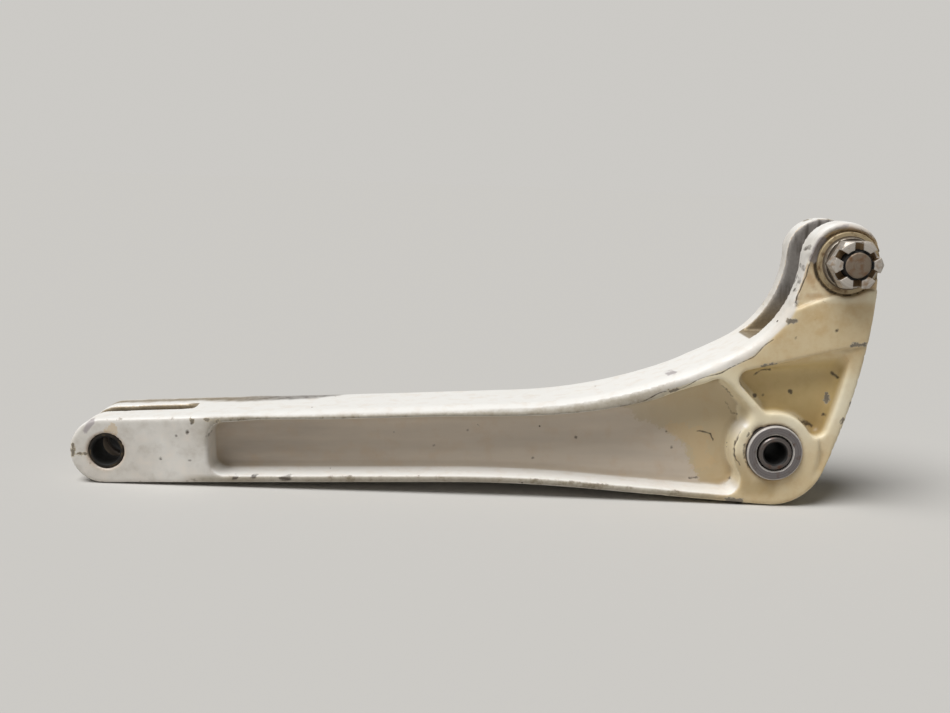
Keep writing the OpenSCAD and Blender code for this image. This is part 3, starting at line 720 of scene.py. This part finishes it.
def turned_steel(name, centre, tones, stain, stain_share, roughness, zones=(), gleam=0.85):
    """Turned steel gone dull: fine rings about its axis, brown stains and a soft metallic gleam. Each zone is
    a span of radii and a span of Y in mm, with the colour painted there: dirt, grease, painted shade or a
    painted highlight."""
    made, tree, shader = new_material(name)
    place = node(tree, "ShaderNodeTexCoord").outputs["Object"]
    to_axis = (-centre[0] * MM, 0, -centre[1] * MM)
    moved = node(tree, "ShaderNodeMapping", {"Vector": place, "Location": to_axis}).outputs[0]
    part = node(tree, "ShaderNodeSeparateXYZ", {"Vector": moved}).outputs
    flat = node(tree, "ShaderNodeCombineXYZ", {"X": part["X"], "Z": part["Z"]}).outputs[0]
    radius = node(tree, "ShaderNodeVectorMath", {0: flat}, operation="LENGTH").outputs["Value"]
    # Tool marks 0.25 mm apart, drawn a little coarser than real so that they show, and stains 2.2 mm across
    rings = node(tree, "ShaderNodeTexNoise", {
        "W": radius, "Scale": 1000 / 0.25, "Detail": 1.0}, noise_dimensions="1D").outputs["Fac"]
    blotch = node(tree, "ShaderNodeTexNoise", {
        "Vector": place, "Scale": 1000 / 2.2, "Detail": 4.0}).outputs["Fac"]
    stained = node(tree, "ShaderNodeMapRange", {
        "Value": blotch,
        "From Min": 0.62 - 0.3 * stain_share, "From Max": 0.78 - 0.2 * stain_share}).outputs[0]
    dark, light = tones
    layers = [(rings, linear(light)), (stained, linear(stain))]
    dull = stained
    ragged = node(tree, "ShaderNodeMath", {0: blotch, 1: -0.5}, operation="ADD").outputs[0]
    for radii, depths, colour in zones:
        inside = []
        for value, (low, high) in ((radius, radii), (part["Y"], depths)):
            broken = node(tree, "ShaderNodeMath", {
                0: ragged, 1: ZONE_RAGGED * MM, 2: value}, operation="MULTIPLY_ADD").outputs[0]
            middle, half = (low + high) / 2 * MM, (high - low) / 2 * MM
            inside.append(node(tree, "ShaderNodeMath", {
                0: broken, 1: middle, 2: half}, operation="COMPARE").outputs[0])
        zone = node(tree, "ShaderNodeMath", {0: inside[0], 1: inside[1]}, operation="MULTIPLY").outputs[0]
        dull = node(tree, "ShaderNodeMath", {0: dull, 1: zone}, operation="MAXIMUM").outputs[0]
        layers.append((zone, linear(colour)))
    tree.links.new(layered(tree, linear(dark), layers), shader.inputs["Base Color"])
    shine = node(tree, "ShaderNodeMapRange", {
        "Value": dull, "To Min": gleam, "To Max": 0.3 * gleam}).outputs[0]
    tree.links.new(shine, shader.inputs["Metallic"])
    rough = node(tree, "ShaderNodeMapRange", {
        "Value": blotch, "To Min": roughness - 0.08, "To Max": roughness + 0.15}).outputs[0]
    matt = node(tree, "ShaderNodeMath", {
        0: dull, 1: DIRT_MATT, 2: rough}, operation="MULTIPLY_ADD").outputs[0]
    tree.links.new(matt, shader.inputs["Roughness"])
    bump = node(tree, "ShaderNodeBump", {"Height": rings, "Strength": 0.2, "Distance": 0.02 * MM})
    tree.links.new(bump.outputs["Normal"], shader.inputs["Normal"])
    return made


def turned(name, profile, centre):
    """Closed ring from a profile of (radius, Y) points in mm, turned about a line along Y."""
    shape = bmesh.new()
    loops = []
    for k in range(TURNS):
        angle = 2 * math.pi * k / TURNS
        loops.append([
            shape.verts.new((
                (centre[0] + r * math.cos(angle)) * MM, y * MM, (centre[1] + r * math.sin(angle)) * MM))
            for r, y in profile
        ])
    for here, there in zip(loops, loops[1:] + loops[:1]):
        for i in range(len(profile)):
            j = (i + 1) % len(profile)
            shape.faces.new((here[i], here[j], there[j], there[i]))
    bmesh.ops.recalc_face_normals(shape, faces=shape.faces)
    mesh = as_mesh(shape, name)
    mesh.set_sharp_from_angle(angle=math.radians(SHARP_ANGLE))
    return mesh


def eased(points, ease):
    """A profile with each corner cut by two small facets, as a deburred edge."""
    out = []
    count = len(points)
    for i in range(count):
        a, b, c = (Vector(points[(i + k - 1) % count]) for k in range(3))
        back, onward = a - b, c - b
        cut = min(ease, back.length / 3, onward.length / 3)
        p, q = b + back.normalized() * cut, b + onward.normalized() * cut
        out += [tuple(p), tuple((p + q + 2 * b) / 4), tuple(q)]
    return out


def mirrored(profile):
    """A profile of the front turned into that of the rear."""
    return [(r, -y) for r, y in profile]


def bush_profile(outer, inner, near, far):
    """Profile of a plain bush or washer with chamfered edges, from one Y to another."""
    c = BUSH_CHAMFER
    return eased([
        (inner + c, near), (outer - c, near), (outer, near + c), (outer, far - c), (outer - c, far),
        (inner + c, far), (inner, far - c), (inner, near + c)], BUSH_EASE)


def bevelled(name, ease):
    """Merged copy of a CAD node with its sharp edges broken."""
    shape = merged_copy(name)
    flat = math.radians(FLAT_ANGLE)
    bmesh.ops.dissolve_limit(shape, angle_limit=flat, verts=shape.verts, edges=shape.edges)
    least = math.radians(BEVEL_ANGLE)
    sharp = [e for e in shape.edges if len(e.link_faces) == 2 and e.calc_face_angle() > least]
    bmesh.ops.bevel(
        shape, geom=sharp, offset=ease * MM, segments=2, profile=0.5, affect="EDGES", clamp_overlap=True)
    mesh = as_mesh(shape, name + "_finished")
    mesh.set_sharp_from_angle(angle=math.radians(SHARP_ANGLE))
    return mesh


def needle_tree():
    """Geometry Nodes: rollers in a ring about the pivot. Gives the tree and the identifiers of its inputs."""
    tree = bpy.data.node_groups.new("needle_ring", "GeometryNodeTree")
    tree.interface.new_socket("Geometry", in_out="OUTPUT", socket_type="NodeSocketGeometry")
    keys = {}
    for name, kind, start in (
            ("Count", "NodeSocketInt", ROLLERS),
            ("Pitch Radius", "NodeSocketFloat", PITCH_R * MM),
            ("Roller Radius", "NodeSocketFloat", ROLLER_R * MM),
            ("Roller Length", "NodeSocketFloat", ROLLER_LENGTH * MM),
            ("Middle", "NodeSocketFloat", 0.0),
            ("Steel", "NodeSocketMaterial", None)):
        socket = tree.interface.new_socket(name, in_out="INPUT", socket_type=kind)
        keys[name] = socket.identifier
        if start is not None:
            socket.default_value = start
    given = node(tree, "NodeGroupInput").outputs
    ring = node(tree, "GeometryNodeMeshCircle", {
        "Vertices": given["Count"], "Radius": given["Pitch Radius"]})
    roller = node(tree, "GeometryNodeMeshCylinder", {
        "Vertices": ROLLER_SIDES, "Radius": given["Roller Radius"], "Depth": given["Roller Length"]})
    upright = node(tree, "GeometryNodeInstanceOnPoints", {
        "Points": ring.outputs["Mesh"], "Instance": roller.outputs["Mesh"]})
    shift = node(tree, "ShaderNodeCombineXYZ", {"Y": given["Middle"]})
    laid = node(tree, "GeometryNodeTransform", {
        "Geometry": upright.outputs["Instances"],
        "Rotation": (math.radians(90), 0, 0), "Translation": shift.outputs[0]})
    real = node(tree, "GeometryNodeRealizeInstances", {"Geometry": laid.outputs["Geometry"]})
    steel = node(tree, "GeometryNodeSetMaterial", {
        "Geometry": real.outputs["Geometry"], "Material": given["Steel"]})
    node(tree, "NodeGroupOutput", {"Geometry": steel.outputs["Geometry"]})
    return tree, keys


def studio_floor():
    """Wide pale floor, tilted so that the boss and the eye both rest on it."""
    made, _, shader = new_material("pale_studio_floor")
    shader.inputs["Base Color"].default_value = linear(PALE)
    shader.inputs["Roughness"].default_value = 0.9
    shader.inputs["Specular IOR Level"].default_value = 0.0
    shape = bmesh.new()
    turns = [2 * math.pi * k / FLOOR_SIDES for k in range(FLOOR_SIDES)]
    rings = [[shape.verts.new((r * math.cos(a), r * math.sin(a), 0)) for a in turns] for r in FLOOR_RADII]
    shape.faces.new(rings[0])
    for inner, outer in zip(rings[:-1], rings[1:]):
        for k in range(FLOOR_SIDES):
            j = (k + 1) % FLOOR_SIDES
            shape.faces.new((inner[j], inner[k], outer[k], outer[j]))
    tilt = math.asin((BOSS_FOOT - EYE_FOOT) / FOOT_SPAN)
    shape.transform(Matrix.Translation((0, 0, -BOSS_FOOT * MM)) @ Matrix.Rotation(tilt, 4, "Y"))
    mesh = as_mesh(shape, "studio_floor")
    mesh.materials.append(made)
    floor = bpy.data.objects.new("studio_floor", mesh)
    bpy.context.scene.collection.objects.link(floor)


def soft_light(name, bearing, height, spread, strength):
    """Wide even light from a bearing, clockwise from the camera's side, and a height, in degrees."""
    light = bpy.data.lights.new(name, "SUN")
    light.angle = math.radians(spread)
    light.energy = strength
    held = bpy.data.objects.new(name, light)
    held.rotation_euler = (math.pi / 2 - math.radians(height), 0, -math.radians(bearing))
    bpy.context.scene.collection.objects.link(held)


def studio_air():
    """Dim white light from all round, and a pale background to the eye and in reflections."""
    world = bpy.data.worlds.new("studio_air")
    bpy.context.scene.world = world
    world.use_nodes = True
    tree = world.node_tree
    path = node(tree, "ShaderNodeLightPath").outputs
    seen = path["Is Camera Ray"]
    for ray in ("Is Glossy Ray", "Is Transmission Ray"):
        seen = node(tree, "ShaderNodeMath", {0: seen, 1: path[ray]}, operation="MAXIMUM").outputs[0]
    strength = node(tree, "ShaderNodeMapRange", {"Value": seen, "To Min": AIR_LIGHT, "To Max": AIR_SEEN})
    sky = tree.nodes["Background"]
    sky.inputs["Color"].default_value = linear(PALE)
    tree.links.new(strength.outputs[0], sky.inputs["Strength"])


def photo_camera():
    """Camera at the photograph's place, with its focal length."""
    data = bpy.data.cameras.new("photo_camera")
    data.sensor_width = SENSOR_WIDTH
    data.lens = SENSOR_WIDTH * FOCAL_PIXELS / FRAME_PIXELS
    data.clip_start = 10 * MM
    camera = bpy.data.objects.new("photo_camera", data)
    bpy.context.scene.collection.objects.link(camera)
    yaw, pitch, roll = (math.radians(angle) for angle in CAMERA_TURNS)
    ahead = Vector((math.sin(yaw) * math.cos(pitch), math.cos(yaw) * math.cos(pitch), -math.sin(pitch)))
    level = ahead.cross(Vector((0, 0, 1))).normalized()
    up = level.cross(ahead)
    right = level * math.cos(roll) + up * math.sin(roll)
    over = up * math.cos(roll) - level * math.sin(roll)
    aim = Matrix((right, over, -ahead)).transposed().to_4x4()
    camera.matrix_world = Matrix.Translation(Vector(CAMERA_PLACE) * MM) @ aim
    bpy.context.scene.camera = camera


# Bearing rings: dull, with a pale painted highlight on the outer chamfer and the inner lip of each end
bearing_steel = turned_steel(
    "turned_bearing_steel", PIVOT, ("#5F5A5A", "#8A8585"), "#5A4636", stain_share=0.15, roughness=0.36,
    zones=[
        (radii, depths, CHAMFER_HIGHLIGHT)
        for radii in ((7.55, 8.5), (5.0, 5.6)) for depths in ((-16, -14.8), (14.8, 16))
    ])
# Sleeve: ground smooth, its bore black with grease and painted shade
sleeve_steel = turned_steel(
    "ground_sleeve_steel", PIVOT, ("#4C4745", "#726C69"), "#553726", stain_share=0.35, roughness=0.32,
    zones=[((-1, 3.55), ALL_ALONG, GREASE_AND_BORE_SHADE)])
# Rollers: dark under a film of grease
roller_steel = turned_steel(
    "ground_roller_steel", PIVOT, ("#2E2B29", "#3C3936"), "#241F1B", stain_share=0.3, roughness=0.4)
# Eye bushes: nearly black with grease, blackest in the bore with grease and painted shade
bush_steel = turned_steel(
    "greased_bush_steel", EYE, ("#221F1D", "#3C3733"), "#5A4A30", stain_share=0.25, roughness=0.42,
    zones=[((-1, 4.4), ALL_ALONG, GREASE_AND_BORE_SHADE)])
# Clevis bushes: bare and stained brown
clevis_bush_steel = turned_steel(
    "clevis_bush_steel", CLEVIS, ("#5A534D", "#7F776F"), "#5E452E", stain_share=0.5, roughness=0.42)
# Washers under the nut and the head: dull plating, darker next to the nut with dirt and painted shade
washer_steel = turned_steel(
    "plated_washer_steel", CLEVIS, ("#7E776D", "#A39B8F"), "#5E4A34", stain_share=0.4, roughness=0.44,
    zones=[((0, 6.9), ALL_ALONG, "#4A4034")], gleam=0.6)
# Nut: pale matt plating, brown round its crown, darker at its foot with dirt and painted shade, and black
# next to the bolt with grease and painted shade
nut_steel = turned_steel(
    "plated_nut_steel", CLEVIS, ("#A09990", "#C6BFB6"), "#8A6E50", stain_share=0.3, roughness=0.5,
    zones=[
        ((0, 6.0), (-21.2, -15), "#6A5438"),
        ((5.5, 9), (-17.0, -15), "#5A4F42"),
        ((-1, 4.3), ALL_ALONG, GREASE_AND_BORE_SHADE),
    ], gleam=0.55)
# Bolt: brown matt plating, black round its end with grease and painted shade in the gap to the nut
bolt_steel = turned_steel(
    "plated_bolt_steel", CLEVIS, ("#6C5E50", "#887A6A"), "#6E5036", stain_share=0.5, roughness=0.5,
    zones=[((3.5, 5), (-22, -15.5), "#14110E")], gleam=0.45)
# Wide washer: overpainted in tan, darker next to the smaller washer with dirt and painted shade
wide_washer_steel = turned_steel(
    "painted_washer_steel", CLEVIS, ("#95866A", "#B8A582"), "#6E5436", stain_share=0.35, roughness=0.5,
    zones=[((0, 7.5), ALL_ALONG, "#6A5C4B")], gleam=0.3)

# Profiles of the front pieces, and of those that pass through, as (radius, Y) in mm
RING_PROFILE = eased([
    (5.65, -15.5), (7.5, -15.5), (7.9375, -15.06), (7.9375, -3.2), (7.54, -2.8), (5.2, -2.8),
    (5.2, -4.0), (6.41, -4.0), (6.41, -14.3), (5.2, -14.3), (5.2, -15.05)], RING_EASE)
SLEEVE_PROFILE = eased([
    (3.575, -15.8), (4.3625, -15.8), (4.7625, -15.4), (4.7625, 15.4), (4.3625, 15.8), (3.575, 15.8),
    (3.175, 15.4), (3.175, -15.4)], RING_EASE)
EYE_BUSH = bush_profile(BUSH_R, EYE_BORE_R, -EYE_BUSH_FACE, -EYE_SLOT_HALF)
CLEVIS_BUSH = bush_profile(BUSH_R, SHANK_HOLE_R, -CLEVIS_BUSH_FACE, -CLEVIS_SLOT_HALF)
HEAD_WASHER = mirrored(bush_profile(WASHER_R, SHANK_HOLE_R, -EAR_FACE - WASHER_T, -EAR_FACE))
WIDE_WASHER = bush_profile(WIDE_WASHER_R, SHANK_HOLE_R, -EAR_FACE - WASHER_T, -EAR_FACE)
NUT_WASHER = bush_profile(WASHER_R, SHANK_HOLE_R, -EAR_FACE - 2 * WASHER_T, -EAR_FACE - WASHER_T)

# The lever
lever = lever_mesh()
enamel = worn_enamel(lever_fields(lever))
new_piece("lever", lever, enamel, "lever", "painted_forging", "lever_forging")

# The bearing: lipped rings, rollers and the sleeve
for side, profile in (("front", RING_PROFILE), ("rear", mirrored(RING_PROFILE))):
    name = "bearing_ring_" + side
    ring = turned(name, profile, PIVOT)
    new_piece(name, ring, bearing_steel, "lever", "bearing_steel", side + "_bearing_ring")
needle_ring, keys = needle_tree()
for side, middle in (("front", -ROLLER_MIDDLE), ("rear", ROLLER_MIDDLE)):
    name = "rollers_" + side
    inputs = {keys["Middle"]: middle * MM, keys["Steel"]: roller_steel}
    rollers = evaluated(bpy.data.meshes.new(name), "NODES", inputs, node_group=needle_ring)
    new_piece(name, rollers, roller_steel, "lever", "needle_steel", side + "_needles")
sleeve = turned("sleeve_tube", SLEEVE_PROFILE, PIVOT)
new_piece("sleeve_tube", sleeve, sleeve_steel, "sleeve", "sleeve_steel", "pivot_sleeve")

# The bushes, and the washers, nut and bolt of the clevis
for side, eye_profile, clevis_profile in (
        ("front", EYE_BUSH, CLEVIS_BUSH), ("rear", mirrored(EYE_BUSH), mirrored(CLEVIS_BUSH))):
    for kind, profile, centre, steel in (
            ("eye_bush", eye_profile, EYE, bush_steel),
            ("clevis_bush", clevis_profile, CLEVIS, clevis_bush_steel)):
        name = side + "_" + kind
        new_piece(kind + "_" + side, turned(name, profile, centre), steel, "lever", "bush_steel", name)
for name, profile, steel in (
        ("head_washer", HEAD_WASHER, washer_steel),
        ("wide_washer", WIDE_WASHER, wide_washer_steel),
        ("nut_washer", NUT_WASHER, washer_steel)):
    new_piece(name + "_ring", turned(name, profile, CLEVIS), steel, "bolt_set", "washer_steel", name)
for name, ease, steel, slot in (
        ("castle_nut", NUT_EASE, nut_steel, "nut_steel"),
        ("clevis_bolt", BOLT_EASE, bolt_steel, "bolt_steel")):
    new_piece(name + "_finished", bevelled(name, ease), steel, "bolt_set", slot, name)

studio_floor()
photo_camera()
soft_light("overhead_soft", bearing=45, height=64, spread=40, strength=3.28)
studio_air()
bpy.context.scene.view_settings.view_transform = "Standard"
